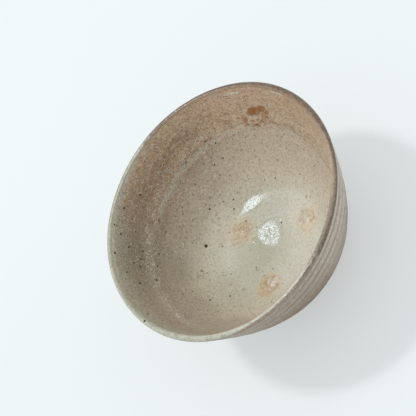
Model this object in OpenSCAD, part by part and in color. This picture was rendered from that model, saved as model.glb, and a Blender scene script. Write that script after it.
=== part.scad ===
// Wheel-thrown stoneware tea bowl: a thrown clay body on a luted foot ring, glazed inside and out,
// with the scars of the three clay wads on which another bowl stood in the kiln.
// Millimetres, +Z out of the mouth, origin at the middle of the foot on the table.

/* [Bowl] */
// Outer diameter at the lip
rim_d = 140; // [115:1:155]
// Height from the table to the lip
bowl_h = 70; // [60:0.5:85]
// Thickness of the rounded lip, over the glaze
lip_t = 3.2; // [2.4:0.1:5]
// Lean of the wall at the lip, degrees out from upright
lip_lean = 20; // [10:1:30]
// Length over which the outside of the wall holds that lean
wall_reach = 38; // [28:0.5:46]
// Lean of the underside where it meets the foot, degrees out from upright
base_lean = 79; // [65:1:84]
// Length over which the underside holds that lean
base_reach = 20; // [14:0.5:26]

/* [Well] */
// Diameter of the shallow well in the floor
well_d = 58; // [46:1:66]
// Depth of the well below its edge
well_sag = 2.2; // [1:0.1:4]
// Thickness of the floor at the middle, over the glaze
floor_t = 8; // [5:0.5:11]
// How much sooner the inside of the wall starts to turn in than the outside
inner_lead = 10; // [6:0.5:14]

/* [Foot] */
// Outer diameter of the foot ring where it meets the body
foot_d = 52; // [44:1:62]
// Height of the foot ring
foot_h = 6.5; // [4:0.5:10]
// Thickness of the foot ring at the table
foot_wall = 5.5; // [4:0.5:8]
// How far both sides of the ring draw in between the body and the table
foot_draw = 1; // [0:0.25:2]
// Chamfer on both edges of the ring at the table
foot_chamfer = 0.8; // [0.3:0.1:1.5]

/* [Throwing marks] */
// Depth of the first finger ridge on the outside, below the lip
ridge_start = 5.8; // [4:0.1:8]
// Spacing of the finger ridges, down the bowl
ridge_pitch = 8; // [6:0.25:11]
// Depth of the hollows between the finger ridges
ridge_h = 0.5; // [0.1:0.05:0.9]
// Depth of the single ridge inside the wall, below the lip
inner_ridge_depth = 23; // [15:0.5:32]
// How far that ridge stands in from the wall
inner_ridge_h = 0.6; // [0.2:0.1:1.2]
// Half width of that ridge
inner_ridge_w = 3; // [2:0.25:5]

/* [Glaze] */
// Thickness of the glaze coats
glaze_t = 0.5; // [0.3:0.05:0.8]
// Height of the bare clay between the foot ring and the outer glaze
bare_h = 5.5; // [3:0.5:12]
// Diameter of the glaze that ran together in the middle of the well
pool_d = 31; // [20:1:34]
// Thickness of that pool at its edge
pool_edge_t = 0.2; // [0.1:0.05:0.4]

/* [Wad scars] */
// Bearings of the three scars, degrees round from +X
scar_bearings = [98, -24, -145]; // [-180:1:180]
// Diameter of the circle on which the scars lie
scar_circle_d = 45.4; // [40:0.2:50]
// Diameter of a scar
scar_d = 10; // [7:0.5:11]
// Straight side of a scar above the clay
scar_side = 0.7; // [0.6:0.05:1.2]
// Rise of the dome on a scar
scar_dome = 0.6; // [0.3:0.1:1.2]

/* [Hidden] */
$fn = 96;

clay_color = [0.62, 0.47, 0.36];
inner_color = [0.63, 0.58, 0.49];
outer_color = [0.57, 0.53, 0.48];
lip_color = [0.70, 0.71, 0.63];
pool_color = [0.74, 0.75, 0.69];
scar_color = [0.80, 0.69, 0.55];

wall_steps = 64;
bare_steps = 6;
lip_steps = 12;
well_steps = 6;
pool_steps = 5;
dome_steps = 4;

// Plane vectors are [radius, height].
function unit(v) = v / norm(v);
function left_of(v) = [-v[1], v[0]];
function heading(deg) = [cos(deg), sin(deg)];

// A cubic curve by its two ends and two handles, and its direction of travel.
function curve_point(c, t) =
    pow(1 - t, 3) * c[0] + 3 * pow(1 - t, 2) * t * c[1] + 3 * (1 - t) * t * t * c[2] + pow(t, 3) * c[3];
function curve_heading(c, t) = unit(
    pow(1 - t, 2) * (c[1] - c[0]) + 2 * (1 - t) * t * (c[2] - c[1]) + t * t * (c[3] - c[2]));

// The lip is a half circle in section: its centre, and its radius in the clay under the glaze.
lip_mid = [rim_d / 2 - lip_t / 2, bowl_h - lip_t / 2];
lip_clay_r = lip_t / 2 - glaze_t;
down_wall = heading(-90 - lip_lean);

// Clay surface of the outside, from the lip down to the foot.
foot_corner = [foot_d / 2, foot_h];
base_handle = foot_corner + base_reach * heading(90 - base_lean);
outer_start = lip_mid + lip_clay_r * heading(-lip_lean);
outer_curve = [outer_start, outer_start + wall_reach * down_wall, base_handle, foot_corner];

// Clay surface of the well: a shallow dish, round about a centre high over the bowl.
well_r = well_d / 2;
dish_r = (well_r * well_r + well_sag * well_sag) / (2 * well_sag);
dish_mid_h = foot_h + floor_t - glaze_t + dish_r;
well_edge_deg = asin(well_r / dish_r);
pool_edge_deg = asin(pool_d / 2 / (dish_r - glaze_t));
scar_deg = asin(scar_circle_d / 2 / dish_r);
scar_root = floor_t / 4;
scar_hole_h = 2 * floor_t;
function dish_point(deg, k) = [(dish_r - k) * sin(deg), dish_mid_h - (dish_r - k) * cos(deg)];

// Clay surface of the inside, from the lip down to the edge of the well.
well_edge = dish_point(well_edge_deg, 0);
well_handle_length = (base_handle[0] - well_edge[0]) / cos(well_edge_deg);
well_handle = well_edge + well_handle_length * heading(well_edge_deg);
inner_start = lip_mid - lip_clay_r * heading(-lip_lean);
inner_curve = [inner_start, inner_start + (wall_reach - inner_lead) * down_wall, well_handle, well_edge];

// Finger ridges on the outside: their crests lie on the fair curve, and the hollows between them
// grow from nothing at the lip and fade again towards the foot, at t = 1.
function ridge(depth, t) =
    let (wave = (1 - cos(360 * (depth - ridge_start) / ridge_pitch)) / 2)
    -ridge_h * wave * min(1, depth / ridge_start) * (1 - t);

// The single ridge inside is a smooth swelling.
function inner_ridge(depth) = inner_ridge_h * exp(-pow((depth - inner_ridge_depth) / inner_ridge_w, 2));

// Points of both surfaces at a place t along the curve, k above the clay.
function outer_point(t, k) =
    let (p = curve_point(outer_curve, t))
    p + (k + ridge(outer_start[1] - p[1], t)) * left_of(curve_heading(outer_curve, t));
function inner_point(t, k) =
    let (p = curve_point(inner_curve, t))
    p - (k + inner_ridge(bowl_h - p[1])) * left_of(curve_heading(inner_curve, t));

function steps(from, to, count) = [for (i = [0:count]) from + (to - from) * i / count];
function reversed(list) = [for (i = [len(list) - 1:-1:0]) list[i]];

// Place on the outer curve at a height, by halving the stretch that holds it.
function place_at(h, from = 0, to = 1, halvings = 24) =
    halvings == 0 ? (from + to) / 2
    : curve_point(outer_curve, (from + to) / 2)[1] > h ? place_at(h, (from + to) / 2, to, halvings - 1)
    : place_at(h, from, (from + to) / 2, halvings - 1);
glaze_end = place_at(foot_h + bare_h);

// Runs of points along each surface.
glazed_places = steps(0, glaze_end, wall_steps);
bare_places = steps(glaze_end, 1, bare_steps);
function outer_run(k) = [for (t = glazed_places) outer_point(t, k)];
function bare_run() = [for (t = bare_places) outer_point(t, 0)];
function inner_run(k) = [for (t = steps(0, 1, wall_steps)) inner_point(t, k)];
function well_run(k) = [for (deg = steps(well_edge_deg, pool_edge_deg, well_steps)) dish_point(deg, k)];
function pool_run(k) = [for (deg = steps(pool_edge_deg, 0, pool_steps)) dish_point(deg, k)];
function lip_run(r) = [for (deg = steps(-lip_lean, 180 - lip_lean, lip_steps)) lip_mid + r * heading(deg)];
function tail(list) = [for (i = [1:len(list) - 1]) list[i]];
function inside_run(k) = concat(inner_run(k), tail(well_run(k)), tail(pool_run(k)));

module turned(outline) {
    rotate_extrude() polygon(outline);
}

module clay_form() {
    turned(concat(
        lip_run(lip_clay_r),
        tail(inside_run(0)),
        [[0, foot_h]],
        reversed(concat(tail(outer_run(0)), tail(bare_run())))));
}

module clay_body() {
    color(clay_color) clay_form();
}

module foot_ring() {
    outside_r = foot_d / 2 - foot_draw;
    inside_r = outside_r - foot_wall;
    color(clay_color)
    turned([
        [foot_d / 2, foot_h],
        [inside_r - foot_draw, foot_h],
        [inside_r, foot_chamfer],
        [inside_r + foot_chamfer, 0],
        [outside_r - foot_chamfer, 0],
        [outside_r, foot_chamfer]]);
}

// Puts a scar's own frame on the clay of the well, +Z square to it.
module at_scar(i) {
    spot = dish_point(scar_deg, 0);
    rotate([0, 0, scar_bearings[i]]) translate([spot[0], 0, spot[1]]) rotate([0, -scar_deg, 0]) children();
}

// Round hole through the glaze at each scar.
module scar_holes() {
    for (i = [0:len(scar_bearings) - 1])
        at_scar(i) translate([0, 0, -scar_root]) cylinder(d = scar_d, h = scar_hole_h);
}

// A low dome of wad clay that fills its hole in the glaze and sits on the clay below.
module wad_scar(i) {
    scar_r = scar_d / 2;
    dome = [for (a = steps(0, 90, dome_steps)) [scar_r * cos(a), scar_side + scar_dome * sin(a)]];
    color(scar_color)
    difference() {
        at_scar(i) turned(concat([[0, -scar_root], [scar_r, -scar_root]], dome));
        clay_form();
    }
}

module inner_glaze() {
    color(inner_color)
    difference() {
        turned(concat(inside_run(0), reversed(inside_run(glaze_t))));
        scar_holes();
    }
}

module outer_glaze() {
    color(outer_color)
    turned(concat(outer_run(0), reversed(outer_run(glaze_t))));
}

module lip_glaze() {
    color(lip_color)
    turned(concat(lip_run(lip_clay_r), reversed(lip_run(lip_t / 2))));
}

module glaze_pool() {
    bed = pool_run(glaze_t);
    top_h = bed[0][1] + pool_edge_t;
    color(pool_color)
    difference() {
        turned(concat(bed, [[0, top_h], [bed[0][0], top_h]]));
        scar_holes();
    }
}

clay_body();
foot_ring();
inner_glaze();
outer_glaze();
lip_glaze();
glaze_pool();
for (i = [0:len(scar_bearings) - 1])
    wad_scar(i);
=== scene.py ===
"""Wheel-thrown stoneware tea bowl: the dressed part, its stage and its camera."""

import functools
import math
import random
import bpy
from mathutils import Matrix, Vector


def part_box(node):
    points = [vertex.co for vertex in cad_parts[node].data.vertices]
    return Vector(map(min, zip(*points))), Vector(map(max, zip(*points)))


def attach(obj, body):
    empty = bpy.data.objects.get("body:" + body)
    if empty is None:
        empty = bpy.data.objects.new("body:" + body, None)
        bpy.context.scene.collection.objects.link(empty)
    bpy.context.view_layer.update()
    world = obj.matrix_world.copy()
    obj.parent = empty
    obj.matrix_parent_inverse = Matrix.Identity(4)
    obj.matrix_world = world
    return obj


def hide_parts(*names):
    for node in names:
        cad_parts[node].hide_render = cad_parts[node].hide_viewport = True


bl_info = {
    "name": "Stoneware Tea Bowl",
    "version": (1, 0, 0),
    "blender": (4, 5, 0),
    "location": "View3D > Sidebar > Tea Bowl",
    "description": "Models and glazes a wheel-thrown tea bowl around its packed solids",
    "category": "Object",
}

import bpy
import numpy as np
from bpy.props import FloatProperty, FloatVectorProperty, IntProperty, PointerProperty
from mathutils import Matrix, Quaternion, Vector

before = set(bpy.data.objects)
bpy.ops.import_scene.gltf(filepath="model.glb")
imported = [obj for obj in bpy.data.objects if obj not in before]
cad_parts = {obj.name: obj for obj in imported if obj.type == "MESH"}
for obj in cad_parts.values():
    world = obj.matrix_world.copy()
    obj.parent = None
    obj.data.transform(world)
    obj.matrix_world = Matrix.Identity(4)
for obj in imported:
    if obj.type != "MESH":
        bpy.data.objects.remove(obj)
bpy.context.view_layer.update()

MM = 0.001
BODY = "root"
RIM_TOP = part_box("lip_glaze")[1]
FOOT_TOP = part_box("foot_ring")[1]
CLAY_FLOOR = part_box("inner_glaze")[0].z
POOL_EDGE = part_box("glaze_pool")[1].x


def photo_colour(red, green, blue):
    """A colour as a screen shows it, 0 to 255, turned into the linear values that shaders use."""
    shown = [value / 255 for value in (red, green, blue)]
    return tuple(v / 12.92 if v <= 0.04045 else ((v + 0.055) / 1.055) ** 2.4 for v in shown)


def amount(name, description, default, **kind):
    return FloatProperty(name=name, description=description, default=default, **kind)


def length(name, description, default):
    return amount(name, description, default, unit="LENGTH", precision=5)


def angle(name, description, default):
    return amount(name, description, math.radians(default), subtype="ANGLE")


def triple(name, description, default, **kind):
    return FloatVectorProperty(name=name, description=description, default=default, size=3, **kind)


def position(name, description, *default):
    return triple(name, description, default, subtype="TRANSLATION")


def colour(name, description, *shown):
    return triple(name, description, photo_colour(*shown), min=0, max=1, subtype="COLOR")


class BowlSizes(bpy.types.PropertyGroup):
    """Sizes of the bowl's section and marks."""

    rim_radius: length("Rim radius", "Outer radius at the lip", RIM_TOP.x)
    height: length("Height", "Table to lip", RIM_TOP.z)
    lip_thickness: length("Lip", "Thickness of the rounded lip", 3.2 * MM)
    lip_lean: angle("Lip lean", "Lean of the wall at the lip, out from upright", 20)
    wall_reach: length("Wall reach", "Length over which the outside holds that lean", 38 * MM)
    inner_lead: length("Inner lead", "How much sooner the inside turns in", 10 * MM)
    base_lean: angle("Base lean", "Lean of the underside at the foot, out from upright", 79)
    base_reach: length("Base reach", "Length over which the underside holds that lean", 20 * MM)
    foot_radius: length("Foot radius", "Outer radius of the foot ring under the body", FOOT_TOP.x)
    foot_height: length("Foot height", "Height of the foot ring", FOOT_TOP.z)
    foot_wall: length("Foot wall", "Thickness of the foot ring at the table", 5.5 * MM)
    foot_draw: length("Foot draw", "How far the ring's sides draw in towards the table", 1 * MM)
    foot_chamfer: length("Foot chamfer", "Chamfer on the ring's edges", 0.8 * MM)
    well_radius: length("Well radius", "Radius of the shallow well in the floor", 29 * MM)
    well_sag: length("Well sag", "Depth of the well below its edge", 2.2 * MM)
    well_groove: length("Well groove", "Depth of the soft groove round the well", 0.3 * MM)
    clay_floor: length("Clay floor", "Height of the clay in the middle of the well", CLAY_FLOOR)
    glaze: length("Glaze", "Thickness of the glaze coats", 0.5 * MM)
    bare_height: length("Bare clay", "Height of bare clay between foot and glaze", 5.5 * MM)
    pool_radius: length("Pool radius", "Radius of the pooled glaze in the well", POOL_EDGE)
    pool_flat: length("Pool flat", "Distance from the axis to the middle of the pool's flat side", 7.5 * MM)
    pool_dip: length("Pool dip", "Depth to which the pool's middle sinks below the well", 1.7 * MM)
    ridge_pitch: length("Ridge pitch", "Spacing of the finger ridges outside", 8 * MM)
    ridge_depth: length("Ridge depth", "Depth of the hollows between finger ridges", 0.5 * MM)
    ridge_start: length("Ridge start", "Depth of the first finger ridge at the front", 5.8 * MM)
    inner_ridge_depth: length("Inner ridge", "Depth of the ridge inside the wall", 23 * MM)
    inner_ridge_rise: length("Inner ridge rise", "How far that ridge stands in", 0.6 * MM)
    inner_ridge_width: length("Inner ridge width", "Half width of that ridge", 3 * MM)
    scar_ring: length("Scar ring", "Radius of the ring on which the wad scars lie", 22.7 * MM)
    scar_radius: length("Scar radius", "Radius of a wad scar", 5 * MM)
    wobble: length("Wobble", "Out of round at the lip", 0.35 * MM)
    turn_steps: IntProperty(
        name="Turn steps", description="Facets round the bowl", default=480, min=64, max=720
    )


class BowlColours(bpy.types.PropertyGroup):
    """Colours of the clay and the glazes."""

    blush: colour("Blush", "Warm upper wall inside", 216, 187, 158)
    rose: colour("Rose", "Pink clouds under the lip", 220, 182, 157)
    olive: colour("Olive", "Grey-green upper wall inside", 140, 132, 111)
    cocoa: colour("Cocoa", "Brown quarter of the wall inside", 188, 158, 129)
    tan: colour("Tan", "Middle of the wall inside", 211, 194, 173)
    # Sand also paints light on the wall at bearing -160, where the window's shadow falls.
    sand: colour("Sand", "Lower wall inside", 214, 200, 178)
    celadon: colour("Celadon", "Pale glaze of the well", 198, 195, 173)
    # Umber is also painted shade: in the hoops and on the wall inside that faces away from the window, on the
    # lip's inner half at the right, and outside at bearing -125.
    umber_and_shade: colour("Umber", "Brown mottle in the glaze", 128, 98, 72)
    rust: colour("Rust", "Iron blotches", 160, 98, 32)
    flush: colour("Flush", "Ochre round the wad scars", 209, 181, 138)
    peach: colour("Peach", "That ochre where the well is palest", 238, 212, 177)
    pepper: colour("Pepper", "Fine iron pepper in the glaze", 112, 78, 52)
    speck: colour("Speck", "Iron specks", 52, 38, 28)
    pale_lip: colour("Pale lip", "Thick glaze on the lip", 198, 197, 180)
    dark_lip: colour("Dark lip", "Thin glaze on the lip", 106, 87, 70)
    ash: colour("Ash", "Outer glaze in the hollows", 184, 173, 159)
    # Mauve is also painted shade: under each finger ridge outside, and on the lip's inner half at the right.
    mauve_and_shade: colour("Mauve", "Outer glaze under the ridges", 138, 121, 106)
    clay: colour("Clay", "Bare fired clay", 158, 126, 100)
    toast: colour("Toast", "Flashed clay by the glaze", 166, 120, 87)
    pool: colour("Pool", "Glassy pool in the well", 196, 195, 177)
    # Pearl also paints highlights: the strokes under the lip and the line along the near lip.
    pearl_and_highlight: colour("Pearl", "Glaze of the well where it lies thickest", 232, 228, 214)
    glint: colour("Glint", "Tinge of the light that glassy glaze mirrors", 218, 240, 255)
    wad: colour("Wad", "Wad clay in the scars", 228, 220, 203)
    floor: colour("Floor", "Table under the bowl", 242, 247, 248)


class BowlStage(bpy.types.PropertyGroup):
    """Camera and light."""

    view_from: position("View from", "Place of the camera", 0, -0.5329, 0.6781)
    view_aim: position("View aim", "Point in the middle of the view", -0.0023, 0.0054, 0.069)
    view_roll: angle("View roll", "Turn of the camera about its line of sight", -58.5)
    view_lens: amount("Lens", "Focal length", 138.46, unit="CAMERA")
    window_power: amount("Window", "Power of the window light, watts", 12.0)
    shadow_lift: amount("Shadow lift", "How far the table's shadow is lightened", 0.45, subtype="FACTOR")
    fill_power: amount("Fill", "Power of the low side card, watts", 4.0)
    ambient: amount("Ambient", "Strength of the light from all round", 0.74)


# Section of the bowl

# Cone of the pool: where its soft tip ends and its soft edge starts, by its radius
POOL_TIP = 0.16
POOL_SOFT_EDGE = 0.6

# Flat in the pool: its side, its slope, and how far from its middle it fades
POOL_FLAT_BEARING = math.radians(66)
POOL_FLAT_SLOPE = math.tan(math.radians(10.2))
POOL_FLAT_FADE = (5 * MM, 9.5 * MM)

# Short flat on the step round the well: its side, slope, radius, half length and half width, the core
# whose level it takes and where it fades, both by its half sizes
STEP_FLAT_BEARING = math.radians(65)
STEP_FLAT_SLOPE = math.tan(math.radians(11.2))
STEP_FLAT_RADIUS = 29.4 * MM
STEP_FLAT_HALF = (6.5 * MM, 4 * MM)
STEP_FLAT_CORE = 0.3
STEP_FLAT_FADE = (0.55, 1.3)


def heading(turn):
    return Vector((math.cos(turn), math.sin(turn)))


def left_of(way):
    return Vector((-way.y, way.x))


def facing(degrees):
    """Level unit vector at a bearing."""
    return (*heading(math.radians(degrees)), 0.0)


def smooth(value, low, high):
    """0 below low, 1 above high, and an even S between them."""
    t = np.clip((value - low) / (high - low), 0, 1)
    return t * t * (3 - 2 * t)


def steps(low, high, count):
    return np.linspace(low, high, count).tolist()


class Curve:
    """A cubic curve by its two ends and two handles."""

    def __init__(self, *knots):
        self.knots = knots

    def point(self, t):
        a, b, c, d = self.knots
        return (1 - t) ** 3 * a + 3 * (1 - t) ** 2 * t * b + 3 * (1 - t) * t * t * c + t ** 3 * d

    def side(self, t):
        """Unit vector to the left of the way the curve runs."""
        a, b, c, d = self.knots
        way = (1 - t) ** 2 * (b - a) + 2 * (1 - t) * t * (c - b) + t * t * (d - c)
        return left_of(way.normalized())


class Section:
    """The clay's surfaces in the half plane of radius and height, each with points a little above it."""

    def __init__(self, s):
        self.s = s
        lip_radius = s.lip_thickness / 2
        self.lip_mid = Vector((s.rim_radius - lip_radius, s.height - lip_radius))
        self.lip_clay = lip_radius - s.glaze
        down = heading(-math.pi / 2 - s.lip_lean)
        rim = self.lip_clay * heading(-s.lip_lean)
        corner = Vector((s.foot_radius, s.foot_height))
        base = corner + s.base_reach * heading(math.pi / 2 - s.base_lean)
        start = self.lip_mid + rim
        self.outside = Curve(start, start + s.wall_reach * down, base, corner)
        self.dish_radius = (s.well_radius ** 2 + s.well_sag ** 2) / (2 * s.well_sag)
        self.well_turn = math.asin(s.well_radius / self.dish_radius)
        edge = self.dish(self.well_turn, 0)
        reach = (base.x - edge.x) / math.cos(self.well_turn)
        start = self.lip_mid - rim
        inner_handle = start + (s.wall_reach - s.inner_lead) * down
        self.inside = Curve(start, inner_handle, edge + reach * heading(self.well_turn), edge)

    def dish(self, turn, above):
        radius = self.dish_radius - above
        height = self.s.clay_floor + self.dish_radius - radius * math.cos(turn)
        return Vector((radius * math.sin(turn), height))

    def outer(self, t, above):
        return self.outside.point(t) + above * self.outside.side(t)

    def inner(self, t, above):
        return self.inside.point(t) - above * self.inside.side(t)

    def lip(self, turn, above):
        return self.lip_mid + (self.lip_clay + above) * heading(turn)

    def outer_place(self, height):
        """Place on the outside curve at a height."""
        places = steps(0, 1, count=2001)
        heights = [self.outside.point(t).y for t in places]
        return float(np.interp(-height, [-h for h in heights], places))

    def dip(self, radius):
        """How far the pool lies below the dish at a radius: a shallow cone with a soft edge and tip."""
        share = np.linspace(0, 1, 201)
        slope = smooth(share, 0, POOL_TIP) * (1 - smooth(share, POOL_SOFT_EDGE, 1))
        sunk = np.cumsum(slope[::-1])[::-1]
        return self.s.pool_dip * np.interp(radius / self.s.pool_radius, share, sunk / sunk[0], right=0)

    def fall(self, radius, bearing):
        """How far the pool lies below the dish: the cone, with one side flattened by the last swirl."""
        flat = self.s.pool_flat
        cone = self.dip(radius)
        out = radius * np.cos(bearing - POOL_FLAT_BEARING) - flat
        aside = radius * np.sin(bearing - POOL_FLAT_BEARING)
        bowed = (radius ** 2 - flat ** 2) / (2 * self.dish_radius)
        plane = self.dip(flat) + bowed - POOL_FLAT_SLOPE * out
        near = 1 - smooth(np.hypot(out, aside), *POOL_FLAT_FADE)
        return cone + near * (plane - cone)

    def lip_run(self, above, count):
        lean = self.s.lip_lean
        return [self.lip(turn, above) for turn in steps(-lean, math.pi - lean, count)]

    def outer_run(self, low, high, above, count):
        return [self.outer(t, above) for t in steps(low, high, count)]

    def inner_run(self, above, count):
        return [self.inner(t, above) for t in steps(0, 1, count)]

    def dish_run(self, turn, above, count):
        return [self.dish(t, above) for t in steps(turn, 0, count)]


# Places read from the photograph

# Side of the photograph in pixels, and of the camera's sensor in millimetres
PHOTO_SIZE = 416
SENSOR_WIDTH = 36.0

# Bearings of the wad scars
SCAR_BEARINGS = (98, -24, -145)

# Bearing of the side on which the first finger ridge has its given depth, degrees before +X
RIDGE_FRONT = 75

# Ochre flushes: bearing, distance from the axis and reach in millimetres, and strength
FLUSHES = (
    (97, 23, 10.5, 0.65), (112, 29, 8, 0.25), (-26, 22.9, 9.5, 0.5), (-42, 22, 7.5, 0.35),
    (-145, 22.7, 8.5, 0.55), (-153, 24.8, 7.5, 0.75),
)

# Lobes of the iron blotch: bearing, depth, half width and half height in millimetres, and strength
BLOTCHES = (
    (29.0, 17.0, 3.0, 2.5, 0.8), (26.0, 17.2, 2.6, 2.3, 0.58), (22.8, 15.8, 2.9, 2.1, 0.74),
    (22.0, 20.0, 2.4, 3.6, 0.42), (35.0, 21.3, 1.4, 1.3, 0.55), (35.5, 23.9, 1.3, 0.9, 0.5),
    (31.0, 25.4, 2.1, 0.8, 0.6), (29.5, 24.9, 1.1, 0.9, 0.45), (25.5, 25.9, 1.0, 0.9, 0.5),
)

# How far the blotch's sides lean round the wall as they go down, by the millimetre
BLOTCH_LEAN = 0.57

# Splash of orange, the pale bow over it and the hollow in the bow: bearing, depth, half width and half height
SPLASH = (29.5, 23.0, 7.5, 3.4)
SPLASH_BOW = (28.5, 23.4, 6.0, 3.6)
SPLASH_HOLLOW = (28.5, 23.7, 4.6, 2.5)

# Pale strokes under the lip, a painted reflection: bearing, depth, half width and half height in millimetres
PAINTED_GLINT_STROKES = ((33, 4.1, 5.2, 0.55), (7.5, 2.4, 4.6, 0.5))

# Lumps on each wad scar: place outwards and round, half length, half width and rise in millimetres
LUMPS = (
    ((-2.1, -1.6, 1.0, 0.8, 0.1), (0.5, -0.1, 1.1, 0.8, 0.12), (2.8, 1.2, 1.0, 0.8, 0.1)),
    ((0.1, 0.1, 0.9, 0.9, 0.25), (0.4, -1.9, 0.6, 0.8, 0.12), (-0.4, -3.4, 0.7, 1.0, 0.12)),
    ((-1.2, -0.5, 0.9, 1.8, 0.5), (-1.5, 3.0, 0.9, 1.8, 0.45), (1.1, 1.6, 0.7, 1.2, 0.3)),
)

# Each wad scar: how brown and how ochre it is, how far its lumps turn pale by their size, and how pale
WAD_TONES = ((0.55, 0.8, 1.2, 0.5), (0.0, 0.3, 1.8, 1.0), (0.45, 1.0, 2.1, 1.0))

# Iron specks by pixel and by breadth in millimetres
SPECK_PIXELS = (
    (140, 195, 1.1), (124, 208, 1.1), (209.5, 209, 0.9), (233.5, 199.5, 0.9), (234, 209, 0.8),
    (206, 246, 1.5), (202, 271, 0.9), (231, 274, 0.6), (207, 273, 0.6), (210, 300, 0.9),
    (230, 296, 0.9), (121, 234, 1.2), (115, 253, 1.2), (127, 272, 1.1), (140, 283, 1.2),
    (156.5, 280, 1.2), (147.5, 314, 1.0), (144.5, 321, 1.0), (275.5, 178, 0.7), (264.5, 180, 0.6),
    (314, 166, 0.8), (215.5, 143, 0.9), (223, 158, 0.8), (214.5, 165, 0.8), (220, 175, 0.6),
    (220, 195, 0.6), (246, 221, 0.9), (281.5, 222.5, 0.9), (271.5, 301.5, 0.8), (183, 294, 0.7),
    (192.5, 291.5, 0.6), (304, 150, 0.6), (300, 174, 0.6), (135.5, 231.5, 0.7), (129, 247, 0.9),
    (143, 251, 1.0), (141, 259, 0.9), (134, 263, 0.8), (140.5, 266.5, 1.1), (159, 254, 0.9),
    (164, 255, 0.7), (166, 232, 0.7), (159, 220.5, 0.9), (114.5, 224.5, 0.9), (157.5, 266, 0.9),
    (205, 141.5, 0.9), (211, 158, 0.6), (152, 223, 0.7),
)


def scar_places(sizes):
    """Middle of each wad scar on the glaze of the well."""
    section = Section(sizes)
    turn = math.asin(sizes.scar_ring / section.dish_radius)
    spot = section.dish(turn, sizes.glaze)
    return [Vector((*(spot.x * heading(math.radians(b))), spot.y)) for b in SCAR_BEARINGS]


def photo_ray(stage, column, row):
    """Unit vector from the camera through a pixel of the photograph."""
    turn = view_turn(stage)
    half = SENSOR_WIDTH / 2 / stage.view_lens
    across = (column / PHOTO_SIZE * 2 - 1) * half
    up = (1 - row / PHOTO_SIZE * 2) * half
    return (turn @ Vector((across, up, -1))).normalized()


def view_turn(stage):
    sight = Vector(stage.view_aim) - Vector(stage.view_from)
    return sight.to_track_quat("-Z", "Y") @ Quaternion((0, 0, 1), stage.view_roll)


# Modelling with operators

# Waves of the hand-thrown wobble: count round the bowl, start in radians and height
OUT_OF_ROUND = ((2, -2.6, 1.0), (3, 0.4, 0.7))
OUT_OF_LEVEL = ((2, 0.9, 0.7), (5, 0.0, 0.42))


def newest(name):
    """The object that was just added, under its own name."""
    made = bpy.context.object
    made.name = name
    made.data.name = name
    return made


def new_chain(name, outline):
    """Draws an outline in the XZ plane as one vertex extruded from point to point. Leaves edit mode on."""
    bpy.ops.object.select_all(action="DESELECT")
    bpy.ops.mesh.primitive_plane_add(size=MM, enter_editmode=True, location=(0, 0, 0))
    piece = newest(name)
    bpy.ops.mesh.merge(type="CENTER")
    bpy.ops.transform.translate(value=(outline[0].x, 0, outline[0].y))
    for here, there in zip(outline, outline[1:]):
        step = (there.x - here.x, 0, there.y - here.y)
        bpy.ops.mesh.extrude_region_move(TRANSFORM_OT_translate={"value": step})
    return piece


def turned(name, outline, facets):
    """Sweeps a closed outline round the axis, as a pot is turned on the wheel."""
    piece = new_chain(name, [*outline, outline[0]])
    bpy.ops.object.mode_set(mode="OBJECT")
    wheel = piece.modifiers.new("wheel", "SCREW")
    wheel.axis = "Z"
    wheel.angle = math.tau
    wheel.steps = facets
    wheel.render_steps = facets
    bpy.ops.object.modifier_apply(modifier=wheel.name)
    bpy.ops.object.mode_set(mode="EDIT")
    bpy.ops.mesh.select_all(action="SELECT")
    bpy.ops.mesh.remove_doubles(threshold=0.001 * MM)
    bpy.ops.mesh.normals_make_consistent(inside=False)
    bpy.ops.object.mode_set(mode="OBJECT")
    return piece


def column_of(piece, attribute="co"):
    """Places or normals of a piece's points, a row for each point."""
    flat = np.empty(len(piece.data.vertices) * 3, np.float64)
    piece.data.vertices.foreach_get(attribute, flat)
    return flat.reshape(-1, 3)


def measured(piece):
    """Points of a piece, with their bearing and their distance from the axis."""
    points = column_of(piece)
    x, y = points[:, 0], points[:, 1]
    return points, np.arctan2(y, x), np.hypot(x, y)


def put_points(piece, points):
    piece.data.vertices.foreach_set("co", points.ravel())
    piece.data.update()


def push_out(points, bearing, by):
    """Moves points away from the axis."""
    points[:, 0] += by * np.cos(bearing)
    points[:, 1] += by * np.sin(bearing)


def looking(normals, bearing, out, up):
    """Whether the surface at each point looks out from the axis and up, by these shares."""
    outward = normals[:, 0] * np.cos(bearing) + normals[:, 1] * np.sin(bearing)
    return out * outward + up * normals[:, 2] > 0


def waves(bearing, *rows):
    """Sum of waves round the bowl, each by its count, its start in radians and its height."""
    return sum(height * np.cos(count * bearing + start) for count, start, height in rows)


def swelling(value, middle, half):
    """1 at the middle, fading smoothly over about half to each side."""
    return np.exp(-(((value - middle) / half) ** 2))


def spiral(along, bearing, spacing, depth):
    """Fine lines of a finger or a tool, which climb by one spacing for each turn of the wheel."""
    return depth * np.sin(math.tau * along / spacing - bearing)


def thrown(piece, sizes):
    """Gives a piece the slow wobble of a hand-thrown pot, the same for every piece."""
    p, b, _ = measured(piece)
    up = np.clip(p[:, 2] / sizes.height, 0, 1)
    push_out(p, b, sizes.wobble * up ** 1.5 * waves(b, *OUT_OF_ROUND))
    p[:, 2] += sizes.wobble * up ** 4 * waves(b, *OUT_OF_LEVEL)
    put_points(piece, p)


def pressed_flat(points, seen):
    """Presses the short flat into the seen side of the step round the well."""
    along, across = STEP_FLAT_HALF
    way = heading(STEP_FLAT_BEARING)
    out = points[:, :2] @ np.array(way) - STEP_FLAT_RADIUS
    aside = points[:, :2] @ np.array(left_of(way))
    far = np.hypot(out / across, aside / along)
    level = points[seen & (far < STEP_FLAT_CORE), 2].mean()
    near = seen * (1 - smooth(far, *STEP_FLAT_FADE))
    points[:, 2] += near * (level + STEP_FLAT_SLOPE * out - points[:, 2])


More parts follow.
